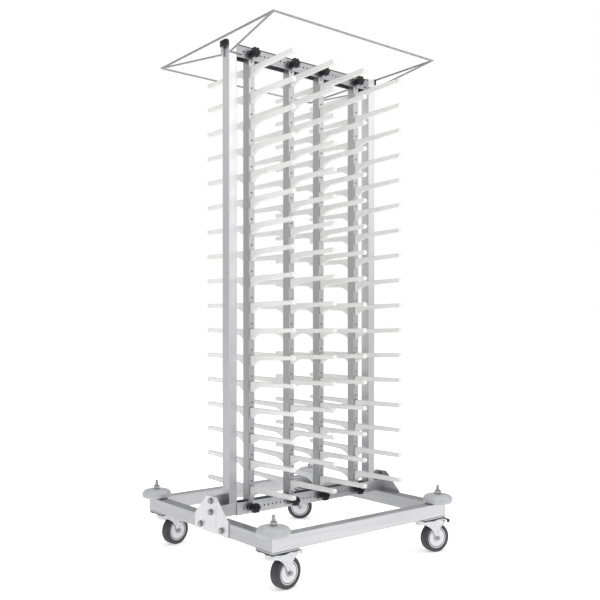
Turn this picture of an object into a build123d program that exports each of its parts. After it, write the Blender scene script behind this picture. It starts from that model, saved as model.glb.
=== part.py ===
import os
from math import cos, radians, sin, tan

from build123d import *

os.makedirs("parts", exist_ok=True)

# All sizes are millimetres and degrees. X runs along the spine, -Y is the front, Z is up from the floor.

# Clearances
RUN_FIT = 0.05
END_GAP = 0.5
SIDE_GAP = 1.0

# Wheels and forks
WHEEL_R = 52
WHEEL_GAP = 11
TRAIL = 35
TYRE_HALF = 18
TYRE_ROUND = 7
HUB_R = 38
HUB_SUNK = 2
HUB_HALF = TYRE_HALF - HUB_SUNK
BOSS_R = 11
BOSS_PROUD = 0.5
BOSS_HALF = TYRE_HALF + BOSS_PROUD
GROOVE_EDGE = 4
GROOVE_W = 2.5
GROOVE_DEEP = 4
GROOVE_OUT = HUB_R - GROOVE_EDGE
GROOVE_IN = GROOVE_OUT - GROOVE_W
LEG_IN = BOSS_HALF + SIDE_GAP
LEG_T = 3
LEG_OUT = LEG_IN + LEG_T
LEG_END_R = 10
CROWN_T = 4
CROWN_Z = 2 * WHEEL_R + WHEEL_GAP
CROWN_TOP = CROWN_Z + CROWN_T
CROWN_R = 36
NOSE_REACH = 44
NOSE_X = NOSE_REACH - LEG_OUT
LIP_H = 15
TAIL_PAST = 20
CROWN_TAIL = TRAIL + TAIL_PAST
TAIL_DROP = 15
LEAD_BOW = 10
TAIL_BOW = 14
RACE_R = 32
RACE_H = 3
NECK_R = 25
NECK_H = 3
KING_R = 6
KING_HEAD_R = 9
KING_HEAD_H = 6.5
AXLE_R = 4
AXLE_AF = 13
AXLE_HEAD = 5.5
REST_ANGLES = {"front_left": 4, "back_left": 9, "front_right": -14, "back_right": 140}
CORNER_SIGNS = {"front_left": (-1, -1), "back_left": (-1, 1), "front_right": (1, -1), "back_right": (1, 1)}
BRAKED = ("front_left", "front_right")

# Brake pedals, in the caster's own upright plane
PEDAL_BEHIND = 25
PEDAL_X = TRAIL + PEDAL_BEHIND
PEDAL_DROP = 5.5
PEDAL_Z = CROWN_TOP - PEDAL_DROP
PEDAL_PIN_R = 2.5
PEDAL_HUB_R = 4.8
PEDAL_HALF = LEG_IN - SIDE_GAP
PEDAL_RISE = 4.6
PEDAL_TOP = PEDAL_Z + PEDAL_RISE
PEDAL_T = 3
PEDAL_EDGE = 9
BRAKE_TAIL = PEDAL_X + PEDAL_EDGE
TREAD_GAP = 3
TREAD_X = BRAKE_TAIL + TREAD_GAP
TREAD_L = 10
TREAD_HALF = 28
TREAD_DROP = 8
CROWN_BRAKE_END = PEDAL_X - PEDAL_HUB_R - SIDE_GAP
SHOE_BEHIND = 6.5
SHOE_X = PEDAL_X + SHOE_BEHIND
SHOE_L = 4.5
SHOE_DROP = 14.5
SHOE_Z = PEDAL_Z - SHOE_DROP
SHOE_HALF = 12

# Base frame, carried by the casters' top plates
BASE_L = 790
BASE_W = 765
TUBE_W = 40
TUBE_H = 48
TUBE_WALL = 2
TUBE_ROUND = 3
CORNER_T = 4
PLATE_T = 4
PLATE_Z = CROWN_TOP + END_GAP + RACE_H + NECK_H
PLATE_TOP = PLATE_Z + PLATE_T
BASE_Z = PLATE_TOP + CORNER_T
BASE_TOP = BASE_Z + TUBE_H
KING_INSET_X = 53
KING_INSET_Y = 45
KING_X = BASE_L / 2 - KING_INSET_X
KING_Y = BASE_W / 2 - KING_INSET_Y
PLATE_L = 2 * KING_INSET_X
PLATE_W = 2 * KING_INSET_Y
PLATE_ROUND = 6
PLATE_BOLT_INSET = 10
PLATE_BOLT_R = 4
PLATE_BOLT_AF = 13
PLATE_BOLT_HEAD = 5

# Roller bumpers
STUD_X = (BASE_L - TUBE_W) / 2
STUD_Y = (BASE_W - TUBE_W) / 2
STUD_R = 6
STUD_SUNK = 14
STUD_Z = BASE_TOP - STUD_SUNK
BUMPER_R = 54
BUMPER_H = 30
BUMPER_LIP = 5
BUMPER_FOOT_R = BUMPER_R - BUMPER_LIP
BUMPER_FOOT_SLOPE = 0.4
BUMPER_WAIST = 8
BUMPER_TOP_R = 16
BUMPER_Z = BASE_TOP + END_GAP
NUT_AF = 22
NUT_H = 12
NUT_Z = BUMPER_Z + BUMPER_H + END_GAP
THREAD_H = 12
THREAD_CHAMFER = 1.5
THREAD_TOP = NUT_Z + NUT_H + THREAD_H
POINT_R = 5
POINT_H = 9
POINT_ROUND = 3.5

# Spine feet
SPINE_Y = -50
STUB_W = 35
STUB_H = 40
STUB_WALL = 2.5
STUB_END = 6
STUB_TOP = BASE_TOP + STUB_H
STUB_BOLT_Z = BASE_TOP + STUB_H / 2
FOOT_T = 4
FOOT_H = 30
FOOT_TOP = STUB_TOP + FOOT_H
FOOT_BOLT_RISE = 17
FOOT_BOLT_Z = STUB_TOP + FOOT_BOLT_RISE
GUSSET_T = 4
GUSSET_HALF = 101
GUSSET_TOP_HALF = 29
SHOULDER_RISE = 2
GUSSET_SHOULDER = BASE_TOP + SHOULDER_RISE
GUSSET_OVER = 2
GUSSET_TOP = FOOT_TOP + GUSSET_OVER
BAND_T = 1
BAND_FOOT = 14
BAND_Z = BASE_Z + BAND_FOOT
GUSSET_BOLT_R = 5
GUSSET_BOLT_AF = 17
GUSSET_BOLT_HEAD = 6
GUSSET_BOLT_GRIP = 4
WASHER_R = 11
WASHER_T = 1.5
LOW_BOLT_Y = 64
LOW_BOLT_RISE = 18
LOW_BOLT_Z = BASE_Z + LOW_BOLT_RISE

# Posts at the ends of the spine
POST_W = 32
POST_D = 40
POST_WALL = 2
POST_ROUND = 2
POST_CAP = 3
POST_INSET = 70.5
POST_X = BASE_L / 2 - POST_INSET
POST_OUT = POST_X + POST_W / 2
POST_IN = POST_X - POST_W / 2
STUB_PAST = 10
STUB_IN = POST_IN - STUB_PAST

# Rails between the posts, each with a row of holes in its front flange
RAIL_WALL = 2.5
RAIL_W = STUB_W + 2 * RAIL_WALL
RAIL_H = STUB_H + RAIL_WALL
RAIL_ROUND = 2
RAIL_FRONT = SPINE_Y - RAIL_W / 2
LOW_RAIL_Z = BASE_TOP - RAIL_WALL
LOW_RAIL_TOP = LOW_RAIL_Z + RAIL_H
ROW_FROM_EDGE = 22
HOLE_PITCH = 17.5
HOLE_R = 3.25
HOLE_END = 28
HOLES_EACH_SIDE = int((POST_IN - HOLE_END) / HOLE_PITCH)
HOLE_XS = [n * HOLE_PITCH for n in range(-HOLES_EACH_SIDE, HOLES_EACH_SIDE + 1)]

# Arms, drawn with the upright's face at zero and the root's lower end at zero
LEVELS = 17
ARM_PITCH = 90
ARM_CLEAR = 14
ARM_FIRST_Z = LOW_RAIL_TOP + ARM_CLEAR
ARM_ZS = [ARM_FIRST_Z + n * ARM_PITCH for n in range(LEVELS)]
ARM_REACH = 235
ARM_W = 14
ARM_ROOT_H = 36
ARM_TILT = 0.5
ARM_KNEE = 50
ARM_KNEE_DEPTH = 17
ARM_END_DEPTH = 13
ARM_TOE = 3
KNEE_SAG = 3
TIP_R = 7.5
TIP_W = 17
TIP_ROUND = 1.2
HOOK_W = 12
HOOK_LOW = 16
HOOK_TOP = 30
LIP_T = 3
LIP_DROP = 7
SLOT_SIDE = 0.5
SLOT_W = HOOK_W + 2 * SLOT_SIDE
SLOT_TOP = HOOK_TOP + LIP_DROP + END_GAP
DOT_R = 3
DOT_ABOVE = 18
DOT_RISE = ARM_ROOT_H + DOT_ABOVE

# Heights above the arms
TOP_CLEAR = 23.5
TOP_RAIL_Z = ARM_ZS[-1] + ARM_ROOT_H + TOP_CLEAR
TOP_RAIL_TOP = TOP_RAIL_Z + RAIL_H
POST_RISE = 5
POST_TOP = TOP_RAIL_TOP + POST_RISE
LOW_ROW_Z = LOW_RAIL_TOP - ROW_FROM_EDGE
TOP_ROW_Z = TOP_RAIL_Z + ROW_FROM_EDGE

# Uprights stand in the rails, each behind the rail hole nearest to its place
OUTER_INSET = 70.5
OUTER_STEP = round((POST_IN - OUTER_INSET) / HOLE_PITCH)
INNER_AT = 70
INNER_STEP = round(INNER_AT / HOLE_PITCH)
UPRIGHT_STEPS = {"a": -OUTER_STEP, "b": -INNER_STEP, "c": INNER_STEP, "d": OUTER_STEP}
UPRIGHT_W = 25
UPRIGHT_D = STUB_W - 2 * END_GAP
UPRIGHT_WALL = 2
UPRIGHT_ROUND = 2
UPRIGHT_Z = LOW_RAIL_Z + RAIL_WALL + END_GAP
UPRIGHT_TOP = TOP_RAIL_TOP - RAIL_WALL - END_GAP

# Star knobs
KNOB_NECK_R = 12.5
KNOB_NECK_H = 12
KNOB_CORE_R = 14.5
KNOB_LOBES = 6
KNOB_LOBE_R = 4.6
KNOB_LOBE_AT = 13
KNOB_HEAD_H = 16
KNOB_ROUND = 2
KNOB_CAP_R = 10
KNOB_CAP_H = 2
KNOB_CAP_ROUND = 1.8
SCREW_R = HOLE_R - RUN_FIT
SCREW_PAST = 0.2
SCREW_TIP = RAIL_WALL + SCREW_PAST

# Wire cover frame
ROD_R = 3.5
RING_INSET_X = 33
RING_INSET_Y = 35.5
RING_RISE = 7
RING_X = BASE_L / 2 - RING_INSET_X
RING_Y = BASE_W / 2 - RING_INSET_Y
RING_Z = POST_TOP + RING_RISE
STAY_R = 3
STAY_START = 8
STAY_DROP = 37
STAY_INSET = 4
STAY_SEAT = 2
STAY_PAST = 20
STAY_BEND_X = POST_OUT - STAY_INSET
STAY_END_X = POST_IN - STAY_PAST
STAY_Z = POST_TOP - STAY_DROP

# Pegs and their holders
PEG_R = 5
PEG_L = 50
PEG_COVER = 4
PEG_ROUND = 4
PEG_BACK = 11
HOLDER_WALL = 1.5
HOLDER_FRONT = 18
HOLDER_BACK = 18
HOLDER_H = 20
HOLDER_RISE = 3
HOLDER_ROUND = 3
PEG_X = POST_OUT + HOLDER_WALL + PEG_R
PEG_Y = SPINE_Y + PEG_BACK
HOLDER_OUT = PEG_X + PEG_R + HOLDER_WALL
HOLDER_TOP = POST_TOP + HOLDER_RISE
HOLDER_Z = HOLDER_TOP - HOLDER_H
PEG_TOP = HOLDER_TOP - PEG_COVER
PEG_Z = PEG_TOP - PEG_L


def save(piece, name):
    piece.part.label = name
    export_step(piece.part, f"parts/{name}.step")


def end_plane(side):
    """Outer face of an end beam on the spine's line, facing away from the rack, with Z up the sketch."""
    return Plane((side * BASE_L / 2, SPINE_Y, 0), x_dir=(0, side, 0), z_dir=(side, 0, 0))


def front_plane(x, y, z):
    """Upright plane facing the front, with X to the right and Z up the sketch."""
    return Plane((x, y, z), x_dir=(1, 0, 0), z_dir=(0, -1, 0))


def hexagon(across_flats):
    RegularPolygon(across_flats / 2, 6, major_radius=False)


# Beams: oblong tube with mitred ends
def make_beam(length, plane, along):
    half = length / 2
    mid = TUBE_W / 2
    inner = mid - TUBE_WALL
    corner_holes = [(-half + mid, 0), (half - mid, 0)]
    with BuildPart() as beam:
        with BuildSketch(plane):
            Polygon((-half, -mid), (half, -mid), (half - TUBE_W, mid), (-half + TUBE_W, mid), align=None)
        extrude(amount=TUBE_H)
        fillet(beam.edges().filter_by(along), TUBE_ROUND)
        with BuildSketch(plane.offset(TUBE_WALL)):
            Polygon(
                (-half + TUBE_WALL, -inner),
                (half - TUBE_WALL, -inner),
                (half - TUBE_W + TUBE_WALL, inner),
                (-half + TUBE_W - TUBE_WALL, inner),
                align=None,
            )
        extrude(amount=TUBE_H - 2 * TUBE_WALL, mode=Mode.SUBTRACT)
        with BuildSketch(plane.offset(TUBE_H)):
            with Locations(*corner_holes):
                Circle(STUD_R)
        extrude(amount=-2 * TUBE_WALL, mode=Mode.SUBTRACT)
    return beam


for name, side in (("front_beam", -1), ("back_beam", 1)):
    edge = Plane((0, side * (BASE_W - TUBE_W) / 2, BASE_Z), x_dir=(-side, 0, 0), z_dir=(0, 0, 1))
    beam = make_beam(BASE_L, edge, Axis.X)
    save(beam, name)

for name, side in (("left_beam", -1), ("right_beam", 1)):
    edge = Plane((side * (BASE_L - TUBE_W) / 2, 0, BASE_Z), x_dir=(0, side, 0), z_dir=(0, 0, 1))
    plain = make_beam(BASE_W, edge, Axis.Y)
    with BuildPart() as beam:
        add(plain.part)
        with BuildSketch(end_plane(side)):
            with Locations((-LOW_BOLT_Y, LOW_BOLT_Z), (LOW_BOLT_Y, LOW_BOLT_Z)):
                Circle(GUSSET_BOLT_R)
        extrude(amount=-2 * TUBE_WALL, mode=Mode.SUBTRACT)
    save(beam, name)

# Corner plates under the beams and caster plates under those
KING_POINTS = [(sx * KING_X, sy * KING_Y) for sx, sy in CORNER_SIGNS.values()]
BOLT_DX = KING_INSET_X - PLATE_BOLT_INSET
BOLT_DY = KING_INSET_Y - PLATE_BOLT_INSET
PLATE_BOLT_POINTS = [
    (x + dx, y + dy) for x, y in KING_POINTS for dx in (-BOLT_DX, BOLT_DX) for dy in (-BOLT_DY, BOLT_DY)
]

with BuildPart() as corner_plates:
    with BuildSketch(Plane.XY.offset(PLATE_TOP)):
        with Locations(*KING_POINTS):
            RectangleRounded(PLATE_L, PLATE_W, PLATE_ROUND)
        with Locations(*PLATE_BOLT_POINTS):
            Circle(PLATE_BOLT_R, mode=Mode.SUBTRACT)
    extrude(amount=CORNER_T)
save(corner_plates, "corner_plates")

KING_FOOT = CROWN_Z - END_GAP - KING_HEAD_H
with BuildPart() as caster_plates:
    with BuildSketch(Plane.XY.offset(PLATE_Z)):
        with Locations(*KING_POINTS):
            RectangleRounded(PLATE_L, PLATE_W, PLATE_ROUND)
        with Locations(*PLATE_BOLT_POINTS):
            Circle(PLATE_BOLT_R, mode=Mode.SUBTRACT)
    extrude(amount=PLATE_T)
    with BuildSketch(Plane.XY.offset(PLATE_Z - NECK_H)):
        with Locations(*KING_POINTS):
            Circle(NECK_R)
    extrude(amount=NECK_H)
    with BuildSketch(Plane.XY.offset(CROWN_TOP + END_GAP)):
        with Locations(*KING_POINTS):
            Circle(RACE_R)
    extrude(amount=RACE_H)
    with BuildSketch(Plane.XY.offset(KING_FOOT)):
        with Locations(*KING_POINTS):
            Circle(KING_R)
    extrude(amount=PLATE_Z - KING_FOOT)
    with BuildSketch(Plane.XY.offset(KING_FOOT)):
        with Locations(*KING_POINTS):
            Circle(KING_HEAD_R)
    extrude(amount=KING_HEAD_H)
save(caster_plates, "caster_plates")


# Casters: each one is drawn on a floor plane under its kingpin, with the plane's X pointing down the trail
def make_fork(floor, braked):
    side = Plane(floor.origin, x_dir=floor.x_dir, z_dir=-floor.y_dir)
    tail = BRAKE_TAIL if braked else CROWN_TAIL
    crown_end = CROWN_BRAKE_END if braked else CROWN_TAIL
    lead_point = (-NOSE_X, CROWN_TOP - LIP_H)
    tail_point = (tail, CROWN_TOP - TAIL_DROP)
    axle_lead = (TRAIL - LEG_END_R, WHEEL_R)
    axle_tail = (TRAIL + LEG_END_R, WHEEL_R)
    with BuildPart() as fork:
        with BuildSketch(side.offset(-LEG_OUT), side.offset(LEG_IN)):
            with BuildLine():
                Polyline(lead_point, (-NOSE_X, CROWN_TOP), (tail, CROWN_TOP), tail_point)
                SagittaArc(tail_point, axle_tail, -TAIL_BOW)
                ThreePointArc(axle_tail, (TRAIL, WHEEL_R - LEG_END_R), axle_lead)
                SagittaArc(axle_lead, lead_point, -LEAD_BOW)
            make_face()
            with Locations((TRAIL, WHEEL_R)):
                Circle(AXLE_R, mode=Mode.SUBTRACT)
            if braked:
                with Locations((PEDAL_X, PEDAL_Z)):
                    Circle(PEDAL_PIN_R + RUN_FIT, mode=Mode.SUBTRACT)
        extrude(amount=LEG_T)
        with BuildSketch(floor.offset(CROWN_Z)):
            with Locations((-NOSE_X, 0)):
                Rectangle(NOSE_X + crown_end, 2 * LEG_OUT, align=(Align.MIN, Align.CENTER))
                Circle(LEG_OUT)
            Circle(CROWN_R)
            Circle(KING_R + RUN_FIT, mode=Mode.SUBTRACT)
        extrude(amount=CROWN_T)
        with BuildSketch(floor.offset(CROWN_TOP - LIP_H)):
            with Locations((-NOSE_X, 0)):
                Circle(LEG_OUT)
                Circle(LEG_IN, mode=Mode.SUBTRACT)
                Rectangle(LEG_OUT, 2 * LEG_OUT, align=(Align.MIN, Align.CENTER), mode=Mode.SUBTRACT)
        extrude(amount=LIP_H)
    return fork


def make_axle(floor):
    side = Plane(floor.origin, x_dir=floor.x_dir, z_dir=-floor.y_dir)
    with BuildPart() as axle:
        with BuildSketch(side.offset(-LEG_OUT)):
            with Locations((TRAIL, WHEEL_R)):
                Circle(AXLE_R)
        extrude(amount=2 * LEG_OUT)
        with BuildSketch(side.offset(LEG_OUT), side.offset(-LEG_OUT - AXLE_HEAD)):
            with Locations((TRAIL, WHEEL_R)):
                hexagon(AXLE_AF)
        extrude(amount=AXLE_HEAD)
    return axle


def make_hub(floor):
    side = Plane(floor.origin, x_dir=floor.x_dir, z_dir=-floor.y_dir)
    with BuildPart() as hub:
        with BuildSketch(side):
            with Locations((TRAIL, WHEEL_R)):
                Circle(HUB_R)
        extrude(amount=HUB_HALF, both=True)
        with BuildSketch(side.offset(HUB_HALF - GROOVE_DEEP), side.offset(-HUB_HALF)):
            with Locations((TRAIL, WHEEL_R)):
                Circle(GROOVE_OUT)
                Circle(GROOVE_IN, mode=Mode.SUBTRACT)
        extrude(amount=GROOVE_DEEP, mode=Mode.SUBTRACT)
        with BuildSketch(side):
            with Locations((TRAIL, WHEEL_R)):
                Circle(BOSS_R)
        extrude(amount=BOSS_HALF, both=True)
        with BuildSketch(side):
            with Locations((TRAIL, WHEEL_R)):
                Circle(AXLE_R + RUN_FIT)
        extrude(amount=BOSS_HALF, both=True, mode=Mode.SUBTRACT)
    return hub


def make_tyre(floor):
    side = Plane(floor.origin, x_dir=floor.x_dir, z_dir=-floor.y_dir)
    with BuildPart() as tyre:
        with BuildSketch(side):
            with Locations((TRAIL, WHEEL_R)):
                Circle(WHEEL_R)
        extrude(amount=TYRE_HALF, both=True)
        fillet(tyre.edges().filter_by(GeomType.CIRCLE), TYRE_ROUND)
        with BuildSketch(side):
            with Locations((TRAIL, WHEEL_R)):
                Circle(HUB_R)
        extrude(amount=TYRE_HALF, both=True, mode=Mode.SUBTRACT)
    return tyre


def make_pedal(floor):
    side = Plane(floor.origin, x_dir=floor.x_dir, z_dir=-floor.y_dir)
    under = PEDAL_TOP - PEDAL_T
    with BuildPart() as pedal:
        with BuildSketch(side):
            with Locations((PEDAL_X, PEDAL_Z)):
                Circle(PEDAL_PIN_R)
        extrude(amount=LEG_OUT + SIDE_GAP, both=True)
        with BuildSketch(side):
            with Locations((PEDAL_X, PEDAL_Z)):
                Circle(PEDAL_HUB_R)
            with Locations((PEDAL_X, under)):
                Rectangle(TREAD_X - PEDAL_X, PEDAL_T, align=(Align.MIN, Align.MIN))
        extrude(amount=PEDAL_HALF, both=True)
        with BuildSketch(floor.offset(under)):
            with Locations((TREAD_X, 0)):
                Rectangle(TREAD_L, 2 * TREAD_HALF, align=(Align.MIN, Align.CENTER))
        extrude(amount=PEDAL_T)
        with BuildSketch(floor.offset(under)):
            with Locations((TREAD_X, 0)):
                Rectangle(TREAD_L, 2 * TREAD_HALF, align=(Align.MIN, Align.CENTER))
                Rectangle(
                    TREAD_L,
                    2 * (TREAD_HALF - PEDAL_T),
                    align=(Align.MIN, Align.CENTER),
                    mode=Mode.SUBTRACT,
                )
        extrude(amount=-TREAD_DROP)
        with BuildSketch(side):
            with Locations((SHOE_X, SHOE_Z)):
                Rectangle(SHOE_L, under - SHOE_Z, align=(Align.MIN, Align.MIN))
        extrude(amount=SHOE_HALF, both=True)
    return pedal


for corner, (sx, sy) in CORNER_SIGNS.items():
    turn = radians(REST_ANGLES[corner])
    floor = Plane((sx * KING_X, sy * KING_Y, 0), x_dir=(cos(turn), sin(turn), 0), z_dir=(0, 0, 1))
    save(make_fork(floor, corner in BRAKED), f"fork_{corner}")
    save(make_axle(floor), f"axle_{corner}")
    save(make_hub(floor), f"hub_{corner}")
    save(make_tyre(floor), f"tyre_{corner}")
    if corner in BRAKED:
        save(make_pedal(floor), f"pedal_{corner}")

# Roller bumpers on studs through the corners
for corner, (sx, sy) in CORNER_SIGNS.items():
    with BuildPart() as bumper:
        with BuildSketch(front_plane(sx * STUD_X, sy * STUD_Y, BUMPER_Z)):
            with BuildLine():
                bore = STUD_R + RUN_FIT
                Polyline((bore, BUMPER_H), (bore, 0), (BUMPER_FOOT_R, 0))
                TangentArc((BUMPER_FOOT_R, 0), (BUMPER_R, BUMPER_WAIST), tangent=(1, BUMPER_FOOT_SLOPE))
                Spline(
                    (BUMPER_R, BUMPER_WAIST),
                    (BUMPER_TOP_R, BUMPER_H),
                    tangents=[(0, 1), (-1, 0)],
                )
                Line((BUMPER_TOP_R, BUMPER_H), (bore, BUMPER_H))
            make_face()
        revolve(axis=Axis((sx * STUD_X, sy * STUD_Y, 0), (0, 0, 1)))
    save(bumper, f"bumper_{corner}")

STUD_POINTS = [(sx * STUD_X, sy * STUD_Y) for sx, sy in CORNER_SIGNS.values()]
with BuildPart() as bumper_studs:
    with BuildSketch(Plane.XY.offset(STUD_Z)):
        with Locations(*STUD_POINTS):
            Circle(STUD_R)
    extrude(amount=THREAD_TOP - STUD_Z)
    chamfer(bumper_studs.edges().group_by(Axis.Z)[-1], THREAD_CHAMFER)
    with BuildSketch(Plane.XY.offset(THREAD_TOP)):
        with Locations(*STUD_POINTS):
            Circle(POINT_R)
    extrude(amount=POINT_H)
    fillet(bumper_studs.edges().group_by(Axis.Z)[-1], POINT_ROUND)
save(bumper_studs, "bumper_studs")

with BuildPart() as bumper_nuts:
    with BuildSketch(Plane.XY.offset(NUT_Z)):
        with Locations(*STUD_POINTS):
            hexagon(NUT_AF)
            Circle(STUD_R, mode=Mode.SUBTRACT)
    extrude(amount=NUT_H)
save(bumper_nuts, "bumper_nuts")

# Gusset plates, the bolts of the frame, the spine stubs and the foot brackets
BAND_BOLTS = [(0, STUB_BOLT_Z), (0, FOOT_BOLT_Z)]
LOW_BOLTS = [(-LOW_BOLT_Y, LOW_BOLT_Z), (LOW_BOLT_Y, LOW_BOLT_Z)]

with BuildPart() as gussets:
    for side in (-1, 1):
        with BuildSketch(end_plane(side)):
            Polygon(
                (-GUSSET_HALF, BASE_Z),
                (GUSSET_HALF, BASE_Z),
                (GUSSET_HALF, GUSSET_SHOULDER),
                (GUSSET_TOP_HALF, GUSSET_TOP),
                (-GUSSET_TOP_HALF, GUSSET_TOP),
                (-GUSSET_HALF, GUSSET_SHOULDER),
                align=None,
            )
        extrude(amount=GUSSET_T)
        with BuildSketch(end_plane(side).offset(GUSSET_T)):
            with Locations((0, BAND_Z)):
                Rectangle(2 * GUSSET_TOP_HALF, GUSSET_TOP - BAND_Z, align=(Align.CENTER, Align.MIN))
        extrude(amount=BAND_T)
        with BuildSketch(end_plane(side)):
            with Locations(*BAND_BOLTS, *LOW_BOLTS):
                Circle(GUSSET_BOLT_R)
        extrude(amount=GUSSET_T + BAND_T, mode=Mode.SUBTRACT)
save(gussets, "gussets")

with BuildPart() as frame_bolts:
    for side in (-1, 1):
        for points, seat in ((BAND_BOLTS, GUSSET_T + BAND_T), (LOW_BOLTS, GUSSET_T)):
            with BuildSketch(end_plane(side).offset(seat)):
                with Locations(*points):
                    Circle(WASHER_R)
            extrude(amount=WASHER_T)
            with BuildSketch(end_plane(side).offset(seat + WASHER_T)):
                with Locations(*points):
                    hexagon(GUSSET_BOLT_AF)
            extrude(amount=GUSSET_BOLT_HEAD)
            with BuildSketch(end_plane(side).offset(seat)):
                with Locations(*points):
                    Circle(GUSSET_BOLT_R)
            extrude(amount=-seat - GUSSET_BOLT_GRIP)
    with BuildSketch(Plane.XY.offset(PLATE_Z)):
        with Locations(*PLATE_BOLT_POINTS):
            Circle(PLATE_BOLT_R)
    extrude(amount=PLATE_T + CORNER_T)
    with BuildSketch(Plane.XY.offset(PLATE_Z)):
        with Locations(*PLATE_BOLT_POINTS):
            hexagon(PLATE_BOLT_AF)
    extrude(amount=-PLATE_BOLT_HEAD)
save(frame_bolts, "frame_bolts")

STUB_L = BASE_L / 2 - STUB_IN
with BuildPart() as spine_stubs:
    for side in (-1, 1):
        with BuildSketch(end_plane(side)):
            with Locations((0, STUB_BOLT_Z)):
                Rectangle(STUB_W, STUB_H)
        extrude(amount=-STUB_L)
        with BuildSketch(end_plane(side).offset(-STUB_END)):
            with Locations((0, STUB_BOLT_Z)):
                Rectangle(STUB_W - 2 * STUB_WALL, STUB_H - 2 * STUB_WALL)
        extrude(amount=STUB_END - STUB_L, mode=Mode.SUBTRACT)
        with BuildSketch(end_plane(side)):
            with Locations((0, STUB_BOLT_Z)):
                Circle(GUSSET_BOLT_R)
        extrude(amount=-STUB_END, mode=Mode.SUBTRACT)
save(spine_stubs, "spine_stubs")

with BuildPart() as foot_brackets:
    for side in (-1, 1):
        with BuildSketch(end_plane(side)):
            with Locations((0, STUB_TOP)):
                Rectangle(STUB_W, FOOT_H, align=(Align.CENTER, Align.MIN))
            with Locations((0, FOOT_BOLT_Z)):
                Circle(GUSSET_BOLT_R, mode=Mode.SUBTRACT)
        extrude(amount=-FOOT_T)
        with BuildSketch(end_plane(side)):
            with Locations((side * (STUB_W - FOOT_T) / 2, STUB_TOP)):
                Rectangle(FOOT_T, FOOT_H, align=(Align.CENTER, Align.MIN))
        extrude(amount=POST_OUT - BASE_L / 2)
save(foot_brackets, "foot_brackets")

# Posts: oblong tube closed at the top
for name, side in (("left_post", -1), ("right_post", 1)):
    with BuildPart() as post:
        with BuildSketch(Plane((side * POST_X, SPINE_Y, STUB_TOP))):
            RectangleRounded(POST_W, POST_D, POST_ROUND)
        extrude(amount=POST_TOP - STUB_TOP)
        with BuildSketch(Plane((side * POST_X, SPINE_Y, STUB_TOP))):
            Rectangle(POST_W - 2 * POST_WALL, POST_D - 2 * POST_WALL)
        extrude(amount=POST_TOP - POST_CAP - STUB_TOP, mode=Mode.SUBTRACT)
    save(post, name)

# Rails: one channel profile, open side up below and open side down above
for name, rail_z, hollow_z, row_z, web in (
    ("bottom_rail", LOW_RAIL_Z, RAIL_WALL, LOW_ROW_Z, 0),
    ("top_rail", TOP_RAIL_Z, 0, TOP_ROW_Z, -1),
):
    with BuildPart() as rail:
        with BuildSketch(Plane((-POST_IN, SPINE_Y, rail_z), x_dir=(0, 1, 0), z_dir=(1, 0, 0))) as profile:
            Rectangle(RAIL_W, RAIL_H, align=(Align.CENTER, Align.MIN))
            fillet(profile.vertices().group_by(Axis.Y)[web], RAIL_ROUND)
            with Locations((0, hollow_z)):
                Rectangle(
                    RAIL_W - 2 * RAIL_WALL,
                    RAIL_H - RAIL_WALL,
                    align=(Align.CENTER, Align.MIN),
                    mode=Mode.SUBTRACT,
                )
        extrude(amount=2 * POST_IN)
        with BuildSketch(front_plane(0, RAIL_FRONT, row_z)):
            with Locations(*[(x, 0) for x in HOLE_XS]):
                Circle(HOLE_R)
        extrude(amount=-RAIL_WALL, mode=Mode.SUBTRACT)
    save(rail, name)

# One arm, pointing to the front: web, bar, rounded tip and a hook for the slot
ARM_SIDE = Plane((0, 0, 0), x_dir=(0, -1, 0), z_dir=(-1, 0, 0))
RISE = tan(radians(ARM_TILT))
TIP_AT = ARM_REACH - TIP_R
TIP_TOP = ARM_ROOT_H + TIP_AT * RISE
KNEE_LOW = ARM_ROOT_H + ARM_KNEE * RISE - ARM_KNEE_DEPTH

with BuildPart() as arm:
    with BuildSketch(ARM_SIDE):
        with BuildLine():
            Polyline((ARM_KNEE, KNEE_LOW), (TIP_AT, TIP_TOP - ARM_END_DEPTH), (TIP_AT, TIP_TOP))
            Polyline((TIP_AT, TIP_TOP), (0, ARM_ROOT_H), (0, 0), (ARM_TOE, 0))
            ThreePointArc(
                (ARM_TOE, 0),
                ((ARM_TOE + ARM_KNEE) / 2, KNEE_LOW / 2 + KNEE_SAG),
                (ARM_KNEE, KNEE_LOW),
            )
        make_face()
    extrude(amount=ARM_W / 2, both=True)
    with BuildSketch(ARM_SIDE):
        with Locations((TIP_AT, TIP_TOP - ARM_END_DEPTH / 2)):
            Circle(TIP_R)
    extrude(amount=TIP_W / 2, both=True)
    fillet(arm.faces().sort_by(Axis.X)[0].edges(), TIP_ROUND)
    fillet(arm.faces().sort_by(Axis.X)[-1].edges(), TIP_ROUND)
    with BuildSketch(ARM_SIDE):
        with Locations((-UPRIGHT_WALL, HOOK_LOW)):
            Rectangle(UPRIGHT_WALL, HOOK_TOP - HOOK_LOW, align=(Align.MIN, Align.MIN))
        with Locations((-UPRIGHT_WALL, HOOK_LOW - LIP_DROP)):
            Rectangle(LIP_T, HOOK_TOP - HOOK_LOW + LIP_DROP, align=(Align.MAX, Align.MIN))
    extrude(amount=HOOK_W / 2, both=True)

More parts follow.
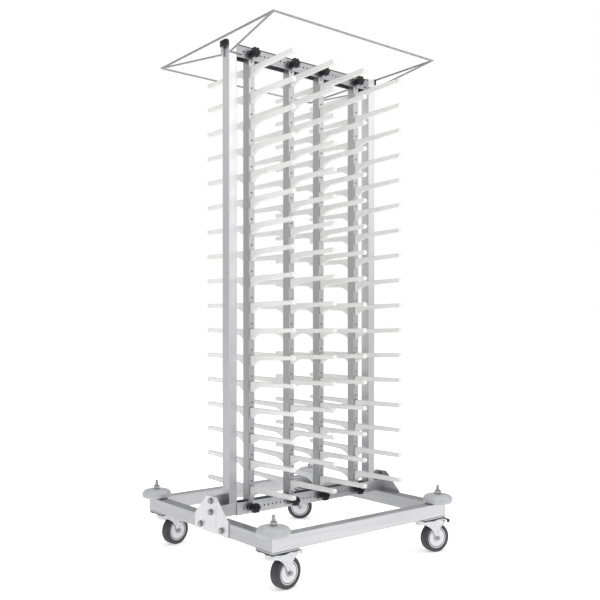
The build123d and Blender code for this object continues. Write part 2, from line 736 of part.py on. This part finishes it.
# Uprights with their slots, and the arms hooked into them front and back
SLOT_H = SLOT_TOP - HOOK_LOW
for letter, step in UPRIGHT_STEPS.items():
    x = step * HOLE_PITCH
    with BuildPart() as upright:
        with BuildSketch(Plane((x, SPINE_Y, UPRIGHT_Z))):
            RectangleRounded(UPRIGHT_W, UPRIGHT_D, UPRIGHT_ROUND)
            Rectangle(UPRIGHT_W - 2 * UPRIGHT_WALL, UPRIGHT_D - 2 * UPRIGHT_WALL, mode=Mode.SUBTRACT)
        extrude(amount=UPRIGHT_TOP - UPRIGHT_Z)
        with BuildSketch(front_plane(x, SPINE_Y, 0)):
            with Locations(*[(0, z + HOOK_LOW) for z in ARM_ZS]):
                Rectangle(SLOT_W, SLOT_H, align=(Align.CENTER, Align.MIN))
            with Locations(*[(0, z + DOT_RISE) for z in ARM_ZS]):
                Circle(DOT_R)
        extrude(amount=UPRIGHT_D, both=True, mode=Mode.SUBTRACT)
    save(upright, f"upright_{letter}")

    with BuildPart() as arms:
        with Locations(*[Location((x, SPINE_Y - UPRIGHT_D / 2, z)) for z in ARM_ZS]):
            add(arm.part)
        with Locations(*[Location((x, SPINE_Y + UPRIGHT_D / 2, z), (0, 0, 180)) for z in ARM_ZS]):
            add(arm.part)
    save(arms, f"arms_{letter}")

# Star knobs in the rail holes in front of each upright
for letter, step in UPRIGHT_STEPS.items():
    for level, row_z in (("low", LOW_ROW_Z), ("top", TOP_ROW_Z)):
        seat = front_plane(step * HOLE_PITCH, RAIL_FRONT, row_z)
        with BuildPart() as knob:
            with BuildSketch(seat.offset(KNOB_NECK_H)):
                Circle(KNOB_CORE_R)
                with PolarLocations(KNOB_LOBE_AT, KNOB_LOBES):
                    Circle(KNOB_LOBE_R)
            extrude(amount=KNOB_HEAD_H)
            fillet(knob.faces().sort_by(Axis.Y)[0].edges(), KNOB_ROUND)
            with BuildSketch(seat.offset(KNOB_NECK_H + KNOB_HEAD_H)):
                Circle(KNOB_CAP_R)
            extrude(amount=KNOB_CAP_H)
            fillet(knob.faces().sort_by(Axis.Y)[0].edges(), KNOB_CAP_ROUND)
            with BuildSketch(seat.offset(END_GAP)):
                Circle(KNOB_NECK_R)
            extrude(amount=KNOB_NECK_H)
            with BuildSketch(seat.offset(-SCREW_TIP)):
                Circle(SCREW_R)
            extrude(amount=SCREW_TIP + KNOB_NECK_H)
        save(knob, f"knob_{letter}_{level}")


# Wire cover frame: long rods and ends meet in mitres at the corners
def mitre(sx, sy):
    return Plane((sx * RING_X, sy * RING_Y, RING_Z), x_dir=(0, 0, 1), z_dir=(-sx, sy, 0))


def make_rod(sy):
    with BuildPart() as rod:
        with BuildSketch(Plane((0, sy * RING_Y, RING_Z), x_dir=(0, 1, 0), z_dir=(1, 0, 0))):
            Circle(ROD_R)
        extrude(amount=RING_X + 2 * ROD_R, both=True)
        for sx in (-1, 1):
            split(bisect_by=mitre(sx, sy), keep=Keep.TOP)
    return rod


def make_stay(sx, sy):
    """Wire from a corner of the ring to the post, with its foot bent in along the post and the rail."""
    post_face = SPINE_Y + sy * POST_D / 2
    corner = Vector(sx * RING_X, sy * RING_Y, RING_Z)
    bend = Vector(sx * STAY_BEND_X, post_face + sy * STAY_SEAT, STAY_Z)
    line = (bend - corner).normalized()
    with BuildPart() as stay:
        with BuildSketch(Plane(corner + line * STAY_START, z_dir=line)):
            Circle(STAY_R)
        extrude(amount=(bend - corner).length - STAY_START)
        with BuildSketch(Plane(bend, z_dir=(-sx, 0, 0))):
            Circle(STAY_R)
        extrude(amount=STAY_BEND_X - STAY_END_X)
        with Locations(bend):
            Sphere(STAY_R)
        split(bisect_by=Plane((0, post_face, 0), z_dir=(0, sy, 0)), keep=Keep.TOP)
    return stay


rods = [make_rod(sy) for sy in (-1, 1)]
with BuildPart() as cover_rods:
    for rod in rods:
        add(rod.part)
save(cover_rods, "cover_rods")

for name, sx in (("cover_left_end", -1), ("cover_right_end", 1)):
    stays = [make_stay(sx, sy) for sy in (-1, 1)]
    with BuildPart() as cover_end:
        with BuildSketch(Plane((sx * RING_X, 0, RING_Z), x_dir=(1, 0, 0), z_dir=(0, 1, 0))):
            Circle(ROD_R)
        extrude(amount=RING_Y + 2 * ROD_R, both=True)
        for sy in (-1, 1):
            split(bisect_by=mitre(sx, sy), keep=Keep.BOTTOM)
        for stay in stays:
            add(stay.part)
    save(cover_end, name)

# Pegs hang in holders on the outer faces of the posts
with BuildPart() as pegs:
    for side in (-1, 1):
        with BuildSketch(Plane((side * PEG_X, PEG_Y, PEG_Z))):
            Circle(PEG_R)
        extrude(amount=PEG_L)
    fillet(pegs.edges().group_by(Axis.Z)[0], PEG_ROUND)
save(pegs, "pegs")

with BuildPart() as peg_holders:
    for side in (-1, 1):
        with BuildSketch(Plane((side * (POST_OUT + HOLDER_OUT) / 2, SPINE_Y - HOLDER_FRONT, HOLDER_Z))):
            Rectangle(HOLDER_OUT - POST_OUT, HOLDER_FRONT + HOLDER_BACK, align=(Align.CENTER, Align.MIN))
        extrude(amount=HOLDER_H)
    outer_edges = peg_holders.edges().filter_by(Axis.Z)
    fillet(outer_edges.group_by(Axis.X)[0] + outer_edges.group_by(Axis.X)[-1], HOLDER_ROUND)
    for side in (-1, 1):
        with BuildSketch(Plane((side * PEG_X, PEG_Y, HOLDER_Z))):
            Circle(PEG_R)
        extrude(amount=PEG_TOP - HOLDER_Z, mode=Mode.SUBTRACT)
save(peg_holders, "peg_holders")
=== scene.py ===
import math

import bmesh
import bpy
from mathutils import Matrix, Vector


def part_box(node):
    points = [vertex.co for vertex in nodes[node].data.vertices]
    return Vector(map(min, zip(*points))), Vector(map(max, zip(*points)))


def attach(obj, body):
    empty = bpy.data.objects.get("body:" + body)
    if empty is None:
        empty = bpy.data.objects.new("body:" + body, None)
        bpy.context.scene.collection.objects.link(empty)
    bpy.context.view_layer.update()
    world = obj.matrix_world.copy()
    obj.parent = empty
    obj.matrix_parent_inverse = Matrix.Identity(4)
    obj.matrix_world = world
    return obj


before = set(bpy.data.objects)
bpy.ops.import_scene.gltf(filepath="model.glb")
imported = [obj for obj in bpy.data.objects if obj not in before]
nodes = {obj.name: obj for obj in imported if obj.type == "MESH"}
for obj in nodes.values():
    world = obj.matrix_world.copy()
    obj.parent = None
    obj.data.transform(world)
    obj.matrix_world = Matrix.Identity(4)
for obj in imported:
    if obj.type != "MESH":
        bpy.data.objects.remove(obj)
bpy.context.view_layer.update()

CORNERS = ("front_left", "back_left", "front_right", "back_right")
LETTERS = ("a", "b", "c", "d")

# Camera: places in metres, lens in millimetres, angles in degrees
CAMERA_AT = (-1.8389, -2.2913, 0.8082)
CAMERA_PITCH = 90
CAMERA_YAW = 38.963
FOCAL_MM = 47.67
SENSOR_MM = 36
SHIFT_X = 0.0033
SHIFT_Y = 0.0499
SIGHT = 200

# Light and floor
PURE_WHITE = (1, 1, 1, 1)
FRONT_WORLD = 0.9
BACK_WORLD = 0.45
BRIGHT_SIDE = (-0.75, -0.65, 0.1)
KEY_AT = (2.2, -4.0, 2.6)
KEY_SIZE = 3.0
KEY_POWER = 26
TOP_AT = (0.2, -0.4, 5.2)
TOP_SIZE = 7.0
TOP_POWER = 160
AIM = (0, 0, 0.9)
FLOOR_HALF = 30
FLOOR_GLOW = 0.42
FLOOR_ROUGH = 0.9
FLOOR_SPECULAR = 0.1
FLOOR_TINTS = ((0.92, 0.92, 0.92), (0.94, 0.94, 0.94))

# Steel grain: noise scale for each axis, small along the brushing
ALONG_X = (4, 260, 260)
ALONG_Y = (260, 4, 260)
ALONG_Z = (260, 260, 4)
NO_GRAIN = (60, 60, 60)

# Noise scales that are the same on all axes, and the detail of each noise
STEEL_CLOUDS = 5
PLASTIC_SKIN = 900
PLASTIC_CLOUDS = 14
RUBBER_SKIN = 700
RUBBER_CLOUDS = 30
FLOOR_CLOUDS = 0.6
ZINC_CELLS = 260
BRIGHT_CELLS = 500
SMOOTH_DETAIL = 2
CLOUD_DETAIL = 3
FINE_DETAIL = 4
LINE_DETAIL = 5
NOISE_ROUGH = 0.5
LINE_ROUGH = 0.6
NOISE_LOW = 0.25
NOISE_HIGH = 0.75

# Edges and masks: lengths in metres, other values are shares
EDGE_ROUND = 0.0008
WEAR_ROUND = 0.002
ARM_EDGE_ROUND = 0.004
BEVEL_SAMPLES = 4
WORN_TURN = 0.75
FLAT_TURN = 0.98
GROOVE_REACH = 0.004
COVER_SAMPLES = 8
COVERED = 0.4
OPEN = 0.75
SPINE_FOOT = 0.2
SPINE_HEAD = 1.6
FOOT_SHARE = 0.25
RIM_DEPTH = 0.0042
RIM_FADE = 0.0008
RIM_TURN_START = 0.75
RIM_TURN_END = 0.95

# Relief: height in metres, then strength
STEEL_RELIEF = (0.00004, 0.25)
ZINC_RELIEF = (0.0001, 0.15)
WHITE_RELIEF = (0.00004, 0.3)
BLACK_RELIEF = (0.00005, 0.3)
HUB_RELIEF = (0.00008, 0.3)
RUBBER_RELIEF = (0.0002, 0.25)

# Finishes: darker colour, lighter colour, least roughness, most roughness. The steel frame parts are lit
# and shaded copies of one steel, their greys set part by part as painted light and painted shade.
LONG_BEAM = ((0.49, 0.49, 0.50), (0.60, 0.60, 0.61), 0.32, 0.42)
# Painted shade: the end beams are darker than the long beams
END_BEAM = ((0.37, 0.37, 0.38), (0.47, 0.47, 0.48), 0.32, 0.42)
POST = ((0.70, 0.70, 0.71), (0.82, 0.82, 0.83), 0.3, 0.4)
LOW_RAIL = ((0.40, 0.40, 0.41), (0.53, 0.53, 0.54), 0.3, 0.4)
TOP_RAIL = ((0.33, 0.33, 0.34), (0.46, 0.46, 0.47), 0.3, 0.4)
# Painted shade: the uprights are darker than the posts
COLUMN = ((0.48, 0.48, 0.485), (0.60, 0.60, 0.605), 0.34, 0.45)
GUSSET = ((0.58, 0.58, 0.595), (0.70, 0.70, 0.715), 0.38, 0.48)
WIRE = ((0.24, 0.24, 0.25), (0.36, 0.36, 0.37), 0.2, 0.3)
ZINC = ((0.52, 0.52, 0.53), (0.64, 0.64, 0.65), 0.3, 0.4)
# Painted shadow: near black, standing for the shaded gap under the beam corners
SHADOW_DARK_ZINC = ((0.05, 0.05, 0.052), (0.11, 0.11, 0.112), 0.5, 0.65)
BRIGHT_STEEL = ((0.18, 0.18, 0.19), (0.40, 0.40, 0.41), 0.12, 0.22)
WHITE_PLASTIC = ((0.74, 0.74, 0.735), (0.80, 0.80, 0.795), 0.25, 0.36)
BLACK_PLASTIC = ((0.004, 0.004, 0.005), (0.009, 0.009, 0.01), 0.12, 0.22)
HUB_PLASTIC = ((0.68, 0.68, 0.69), (0.78, 0.78, 0.79), 0.35, 0.5)
TYRE_RUBBER = ((0.045, 0.042, 0.046), (0.075, 0.07, 0.075), 0.55, 0.75)
BUMPER_RUBBER = ((0.41, 0.412, 0.435), (0.48, 0.482, 0.505), 0.26, 0.4)

# Colours in places: painted shade low on the spine, a dark line on the top rail's bend, painted shade in
# grooves, and dust on rubber edges
FOOT_SHADE_GREY = (0.26, 0.26, 0.27)
RIM_GREY = (0.05, 0.05, 0.052)
GROOVE_SHADE_GREY = (0.12, 0.12, 0.125)
TYRE_DUST = (0.13, 0.125, 0.125)
BUMPER_DUST = (0.56, 0.56, 0.58)
STEEL_EDGE_GAIN = 1.12
ZINC_EDGE_GAIN = 1.1

# Gloss
PLAIN_SPECULAR = 0.5
BLACK_SPECULAR = 0.25
TYRE_SPECULAR = 0.35
BUMPER_SPECULAR = 0.6
WHITE_COAT = 0.15
NO_COAT = 0.0
COAT_ROUGH = 0.12

# Bumper stud threads: lengths in metres, the flank as a share of the pitch
STUD_RADIUS = 0.006
POINT_LENGTH = 0.0105
THREAD_PITCH = 0.00175
THREAD_ROOT = 0.0057
THREAD_CREST = 0.0067
THREAD_FLANK = 0.45
FREE_TURNS = 1
TURN_STEPS = 24


def add_camera():
    data = bpy.data.cameras.new("camera")
    data.sensor_width = SENSOR_MM
    data.lens = FOCAL_MM
    data.shift_x = SHIFT_X
    data.shift_y = SHIFT_Y
    data.clip_end = SIGHT
    camera = bpy.data.objects.new("camera", data)
    camera.location = CAMERA_AT
    camera.rotation_euler = (math.radians(CAMERA_PITCH), 0, math.radians(-CAMERA_YAW))
    bpy.context.collection.objects.link(camera)
    bpy.context.scene.camera = camera


def add_light(name, at, size, power):
    data = bpy.data.lights.new(name, "AREA")
    data.size = size
    data.energy = power
    light = bpy.data.objects.new(name, data)
    light.location = at
    light.rotation_euler = (Vector(AIM) - Vector(at)).to_track_quat("-Z", "Y").to_euler()
    bpy.context.collection.objects.link(light)


def add_world():
    """White behind the object, and a soft surround that is brighter in front of it than behind it."""
    world = bpy.data.worlds.new("studio")
    world.use_nodes = True
    bpy.context.scene.world = world
    tree = world.node_tree
    around = tree.nodes["Background"]
    around.inputs["Color"].default_value = PURE_WHITE
    out = tree.nodes["World Output"]
    place = tree.nodes.new("ShaderNodeTexCoord")
    facing = tree.nodes.new("ShaderNodeVectorMath")
    facing.operation = "DOT_PRODUCT"
    facing.inputs[1].default_value = Vector(BRIGHT_SIDE).normalized()
    backdrop = tree.nodes.new("ShaderNodeBackground")
    backdrop.inputs["Color"].default_value = PURE_WHITE
    seen = tree.nodes.new("ShaderNodeLightPath")
    mix = tree.nodes.new("ShaderNodeMixShader")
    tree.links.new(place.outputs["Generated"], facing.inputs[0])
    level = map_value(tree, facing.outputs["Value"], BACK_WORLD, FRONT_WORLD, -1, 1)
    tree.links.new(level, around.inputs["Strength"])
    tree.links.new(seen.outputs["Is Camera Ray"], mix.inputs["Fac"])
    tree.links.new(around.outputs["Background"], mix.inputs[1])
    tree.links.new(backdrop.outputs["Background"], mix.inputs[2])
    tree.links.new(mix.outputs["Shader"], out.inputs["Surface"])


# Material building blocks
def start_material(name, metallic, specular=PLAIN_SPECULAR):
    material = bpy.data.materials.new(name)
    material.use_nodes = True
    shader = material.node_tree.nodes["Principled BSDF"]
    shader.inputs["Metallic"].default_value = metallic
    shader.inputs["Specular IOR Level"].default_value = specular
    return material, material.node_tree, shader


def even(scale):
    return (scale, scale, scale)


def brighter(colour, gain):
    return tuple(min(1, gain * part) for part in colour)


def noise(tree, stretch, detail=CLOUD_DETAIL, rough=NOISE_ROUGH):
    """Noise in the piece's own space."""
    place = tree.nodes.new("ShaderNodeTexCoord")
    mapping = tree.nodes.new("ShaderNodeMapping")
    mapping.inputs["Scale"].default_value = stretch
    texture = tree.nodes.new("ShaderNodeTexNoise")
    texture.inputs["Scale"].default_value = 1
    texture.inputs["Detail"].default_value = detail
    texture.inputs["Roughness"].default_value = rough
    tree.links.new(place.outputs["Object"], mapping.inputs["Vector"])
    tree.links.new(mapping.outputs["Vector"], texture.inputs["Vector"])
    return texture.outputs["Fac"]


def spangle(tree, scale):
    """Cells of slightly different grey, as zinc plating shows."""
    place = tree.nodes.new("ShaderNodeTexCoord")
    cells = tree.nodes.new("ShaderNodeTexVoronoi")
    cells.inputs["Scale"].default_value = scale
    split = tree.nodes.new("ShaderNodeSeparateColor")
    tree.links.new(place.outputs["Object"], cells.inputs["Vector"])
    tree.links.new(cells.outputs["Color"], split.inputs["Color"])
    return split.outputs["Red"]


def map_value(tree, value, low, high, start=NOISE_LOW, end=NOISE_HIGH):
    """The value carried from the range between start and end to that between low and high."""
    node = tree.nodes.new("ShaderNodeMapRange")
    node.inputs["From Min"].default_value = start
    node.inputs["From Max"].default_value = end
    node.inputs["To Min"].default_value = low
    node.inputs["To Max"].default_value = high
    tree.links.new(value, node.inputs["Value"])
    return node.outputs["Result"]


def blend_colours(tree, value, first, second):
    """The first colour where the value is zero, the second where it is one."""
    node = tree.nodes.new("ShaderNodeMix")
    node.data_type = "RGBA"
    sockets = [socket for socket in node.inputs if socket.type == "RGBA"]
    for socket, colour in zip(sockets, (first, second)):
        if isinstance(colour, tuple):
            socket.default_value = (*colour, 1)
        else:
            tree.links.new(colour, socket)
    tree.links.new(value, node.inputs["Factor"])
    return [socket for socket in node.outputs if socket.type == "RGBA"][0]


def rounded_normal(tree, radius):
    """Normal of a surface whose edges look rounded by the radius."""
    bevel = tree.nodes.new("ShaderNodeBevel")
    bevel.samples = BEVEL_SAMPLES
    bevel.inputs["Radius"].default_value = radius
    return bevel.outputs["Normal"]


def upward_part(tree, vector):
    split = tree.nodes.new("ShaderNodeSeparateXYZ")
    tree.links.new(vector, split.inputs["Vector"])
    return split.outputs["Z"]


def own_height(tree):
    place = tree.nodes.new("ShaderNodeTexCoord")
    return upward_part(tree, place.outputs["Object"])


def edge_mask(tree):
    """One on sharp edges, zero on faces."""
    shape = tree.nodes.new("ShaderNodeNewGeometry")
    facing = tree.nodes.new("ShaderNodeVectorMath")
    facing.operation = "DOT_PRODUCT"
    tree.links.new(rounded_normal(tree, WEAR_ROUND), facing.inputs[0])
    tree.links.new(shape.outputs["Normal"], facing.inputs[1])
    return map_value(tree, facing.outputs["Value"], 1, 0, WORN_TURN, FLAT_TURN)


def groove_shade_mask(tree):
    """Painted shade mask from ambient occlusion: zero in grooves, one on open faces."""
    cover = tree.nodes.new("ShaderNodeAmbientOcclusion")
    cover.samples = COVER_SAMPLES
    cover.inputs["Distance"].default_value = GROOVE_REACH
    return map_value(tree, cover.outputs["AO"], 0, 1, COVERED, OPEN)


def foot_shade_mask(tree):
    """Painted shade mask: small at the foot of the spine, one at its top."""
    return map_value(tree, own_height(tree), FOOT_SHARE, 1, SPINE_FOOT, SPINE_HEAD)


def rim_mask(tree, top):
    """One on the outer faces of a bend just under the given height, zero elsewhere."""
    shape = tree.nodes.new("ShaderNodeNewGeometry")
    both = tree.nodes.new("ShaderNodeMath")
    both.operation = "MULTIPLY"
    start = top - RIM_DEPTH
    near = map_value(tree, own_height(tree), 0, 1, start - RIM_FADE, start)
    turned = upward_part(tree, shape.outputs["Normal"])
    upright = map_value(tree, turned, 1, 0, RIM_TURN_START, RIM_TURN_END)
    tree.links.new(near, both.inputs[0])
    tree.links.new(upright, both.inputs[1])
    return both.outputs["Value"]


def add_bump(tree, shader, value, relief, edge=EDGE_ROUND):
    """Relief over edges that are slightly rounded."""
    height, strength = relief
    bump = tree.nodes.new("ShaderNodeBump")
    bump.inputs["Distance"].default_value = height
    bump.inputs["Strength"].default_value = strength
    tree.links.new(value, bump.inputs["Height"])
    tree.links.new(rounded_normal(tree, edge), bump.inputs["Normal"])
    tree.links.new(bump.outputs["Normal"], shader.inputs["Normal"])


def set_surface(tree, shader, colour, roughness):
    tree.links.new(colour, shader.inputs["Base Color"])
    tree.links.new(roughness, shader.inputs["Roughness"])


# Materials
def brushed_steel(name, stretch, finish, foot=None, rim=None):
    """Steel with fine brush lines, cloudy wiping marks and brighter edges.

    A foot colour paints shade low down, darker towards the bottom, and a rim height puts a dark line along
    a bend at that height.
    """
    dark, light, smooth, rough = finish
    material, tree, shader = start_material(name, metallic=1)
    lines = noise(tree, stretch, LINE_DETAIL, LINE_ROUGH)
    clouds = noise(tree, even(STEEL_CLOUDS))
    face = blend_colours(tree, map_value(tree, lines, 0, 1), dark, light)
    # painted shade: the foot colour darkens the face towards the bottom of posts and uprights
    if foot:
        face = blend_colours(tree, foot_shade_mask(tree), foot, face)
    face = blend_colours(tree, edge_mask(tree), face, brighter(light, STEEL_EDGE_GAIN))
    if rim:
        face = blend_colours(tree, rim_mask(tree, rim), face, RIM_GREY)
    set_surface(tree, shader, face, map_value(tree, clouds, smooth, rough))
    add_bump(tree, shader, lines, STEEL_RELIEF)
    return material


def zinc_plate(name, finish, cell_scale):
    """Plated steel with faint spangle and brighter edges."""
    dark, light, smooth, rough = finish
    material, tree, shader = start_material(name, metallic=1)
    cells = spangle(tree, cell_scale)
    clouds = noise(tree, NO_GRAIN, FINE_DETAIL)
    face = blend_colours(tree, cells, dark, light)
    face = blend_colours(tree, edge_mask(tree), face, brighter(light, ZINC_EDGE_GAIN))
    set_surface(tree, shader, face, map_value(tree, clouds, smooth, rough))
    add_bump(tree, shader, clouds, ZINC_RELIEF)
    return material


def moulded(name, finish, relief, coat=NO_COAT, specular=PLAIN_SPECULAR, edge=EDGE_ROUND, groove_shade=None):
    """Moulded plastic with a fine skin and rounded edges, and painted shade in its grooves if a colour is
    given.
    """
    dark, light, smooth, rough = finish
    material, tree, shader = start_material(name, metallic=0, specular=specular)
    shader.inputs["Coat Weight"].default_value = coat
    shader.inputs["Coat Roughness"].default_value = COAT_ROUGH
    skin = noise(tree, even(PLASTIC_SKIN), SMOOTH_DETAIL)
    clouds = noise(tree, even(PLASTIC_CLOUDS))
    face = blend_colours(tree, map_value(tree, clouds, 0, 1), dark, light)
    # painted shade: grooves darkened by ambient occlusion
    if groove_shade:
        face = blend_colours(tree, groove_shade_mask(tree), groove_shade, face)
    set_surface(tree, shader, face, map_value(tree, clouds, smooth, rough))
    add_bump(tree, shader, skin, relief, edge)
    return material


def rubber(name, finish, dust, specular):
    """Rubber with a grainy skin, dusty on its edges."""
    dark, light, smooth, rough = finish
    material, tree, shader = start_material(name, metallic=0, specular=specular)
    skin = noise(tree, even(RUBBER_SKIN))
    clouds = noise(tree, even(RUBBER_CLOUDS), FINE_DETAIL)
    face = blend_colours(tree, map_value(tree, clouds, 0, 1), dark, light)
    face = blend_colours(tree, edge_mask(tree), face, dust)
    set_surface(tree, shader, face, map_value(tree, skin, smooth, rough))
    add_bump(tree, shader, skin, RUBBER_RELIEF)
    return material


def floor_material():
    material, tree, shader = start_material("floor", metallic=0, specular=FLOOR_SPECULAR)
    clouds = noise(tree, even(FLOOR_CLOUDS))
    pale = blend_colours(tree, map_value(tree, clouds, 0, 1), *FLOOR_TINTS)
    tree.links.new(pale, shader.inputs["Base Color"])
    shader.inputs["Roughness"].default_value = FLOOR_ROUGH
    shader.inputs["Emission Color"].default_value = PURE_WHITE
    shader.inputs["Emission Strength"].default_value = FLOOR_GLOW
    return material


def add_floor():
    mesh = bpy.data.meshes.new("floor")
    h = FLOOR_HALF
    mesh.from_pydata([(-h, -h, 0), (h, -h, 0), (h, h, 0), (-h, h, 0)], [], [(0, 1, 2, 3)])
    mesh.materials.append(floor_material())
    floor = bpy.data.objects.new("floor", mesh)
    bpy.context.collection.objects.link(floor)


# Threads on the bumper studs
def add_thread(name, x, y, low, high, material):
    """A helical ridge round a stud between two heights, running out at both ends."""
    steps = int((high - low) / THREAD_PITCH - FREE_TURNS) * TURN_STEPS
    shape = bmesh.new()
    rows = []
    for step in range(steps + 1):
        turns = step / TURN_STEPS
        angle = 2 * math.pi * step / TURN_STEPS
        run_out = min(1, turns, (steps - step) / TURN_STEPS)
        crest = THREAD_ROOT + (THREAD_CREST - THREAD_ROOT) * run_out
        middle = low + THREAD_PITCH * (turns + FREE_TURNS / 2)
        row = []
        for radius, lift in ((THREAD_ROOT, -THREAD_FLANK), (crest, 0), (THREAD_ROOT, THREAD_FLANK)):
            at = (x + radius * math.cos(angle), y + radius * math.sin(angle), middle + lift * THREAD_PITCH)
            row.append(shape.verts.new(at))
        rows.append(row)
    for first, second in zip(rows, rows[1:]):
        for a, b in ((0, 1), (1, 2), (2, 0)):
            shape.faces.new((first[a], second[a], second[b], first[b]))
    shape.faces.new(rows[0])
    shape.faces.new(rows[-1])
    bmesh.ops.recalc_face_normals(shape, faces=shape.faces)
    mesh = bpy.data.meshes.new(name)
    shape.to_mesh(mesh)
    shape.free()
    mesh.materials.append(material)
    thread = bpy.data.objects.new(name, mesh)
    bpy.context.collection.objects.link(thread)
    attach(thread, "frame")


def add_threads(material):
    low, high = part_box("bumper_studs")
    nut_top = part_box("bumper_nuts")[1][2]
    columns = {"left": low[0] + STUD_RADIUS, "right": high[0] - STUD_RADIUS}
    lines = {"front": low[1] + STUD_RADIUS, "back": high[1] - STUD_RADIUS}
    thread_top = high[2] - POINT_LENGTH
    for corner in CORNERS:
        line, column = corner.split("_")
        add_thread(f"thread_{corner}", columns[column], lines[line], nut_top, thread_top, material)


# Which node gets which material
def paint(material, *names):
    for name in names:
        slots = nodes[name].data.materials
        if not slots:
            slots.append(material)
        for index in range(len(slots)):
            slots[index] = material


def paint_frame(zinc, bright, black):
    rail_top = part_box("top_rail")[1][2]
    paint(brushed_steel("long_beam_steel", ALONG_X, LONG_BEAM), "front_beam", "back_beam")
    paint(brushed_steel("end_beam_steel", ALONG_Y, END_BEAM), "left_beam", "right_beam", "corner_plates")
    # painted shade: the stubs take the darker end-beam greys
    paint(brushed_steel("stub_steel", ALONG_X, END_BEAM), "spine_stubs")
    paint(brushed_steel("post_steel", ALONG_Z, POST, FOOT_SHADE_GREY), "left_post", "right_post", "foot_brackets")
    paint(brushed_steel("low_rail_steel", ALONG_X, LOW_RAIL), "bottom_rail")
    paint(brushed_steel("top_rail_steel", ALONG_X, TOP_RAIL, rim=rail_top), "top_rail")
    paint(brushed_steel("gusset_steel", ALONG_Z, GUSSET), "gussets")
    paint(brushed_steel("wire", NO_GRAIN, WIRE), "cover_rods", "cover_left_end", "cover_right_end")
    # painted shadow: the caster plates are near black for the shaded gap under the beams
    paint(zinc_plate("shadow_dark_zinc", SHADOW_DARK_ZINC, ZINC_CELLS), "caster_plates")
    paint(bright, "frame_bolts", "bumper_studs", "bumper_nuts")
    paint(black, "peg_holders")
    paint(zinc, "pegs")


def paint_corners(zinc, bright, black):
    hub = moulded("hub_plastic", HUB_PLASTIC, HUB_RELIEF, groove_shade=GROOVE_SHADE_GREY)
    tyre = rubber("tyre_rubber", TYRE_RUBBER, TYRE_DUST, TYRE_SPECULAR)
    bumper = rubber("bumper_rubber", BUMPER_RUBBER, BUMPER_DUST, BUMPER_SPECULAR)
    for corner in CORNERS:
        paint(zinc, f"fork_{corner}")
        paint(bright, f"axle_{corner}")
        paint(hub, f"hub_{corner}")
        paint(tyre, f"tyre_{corner}")
        paint(bumper, f"bumper_{corner}")
    paint(zinc, "pedal_front_left")
    paint(black, "pedal_front_right")


def paint_supports(black):
    column = brushed_steel("column_steel", ALONG_Z, COLUMN, FOOT_SHADE_GREY)
    white = moulded("white_plastic", WHITE_PLASTIC, WHITE_RELIEF, coat=WHITE_COAT, edge=ARM_EDGE_ROUND)
    for letter in LETTERS:
        paint(column, f"upright_{letter}")
        paint(white, f"arms_{letter}")
        paint(black, f"knob_{letter}_low", f"knob_{letter}_top")


def add_finishes():
    zinc = zinc_plate("zinc", ZINC, ZINC_CELLS)
    bright = zinc_plate("bright_steel", BRIGHT_STEEL, BRIGHT_CELLS)
    black = moulded("black_plastic", BLACK_PLASTIC, BLACK_RELIEF, specular=BLACK_SPECULAR)
    add_threads(bright)
    paint_frame(zinc, bright, black)
    paint_corners(zinc, bright, black)
    paint_supports(black)


add_camera()
add_world()
add_light("key", KEY_AT, KEY_SIZE, KEY_POWER)
add_light("top", TOP_AT, TOP_SIZE, TOP_POWER)
add_floor()
add_finishes()
bpy.context.scene.view_settings.view_transform = "Standard"
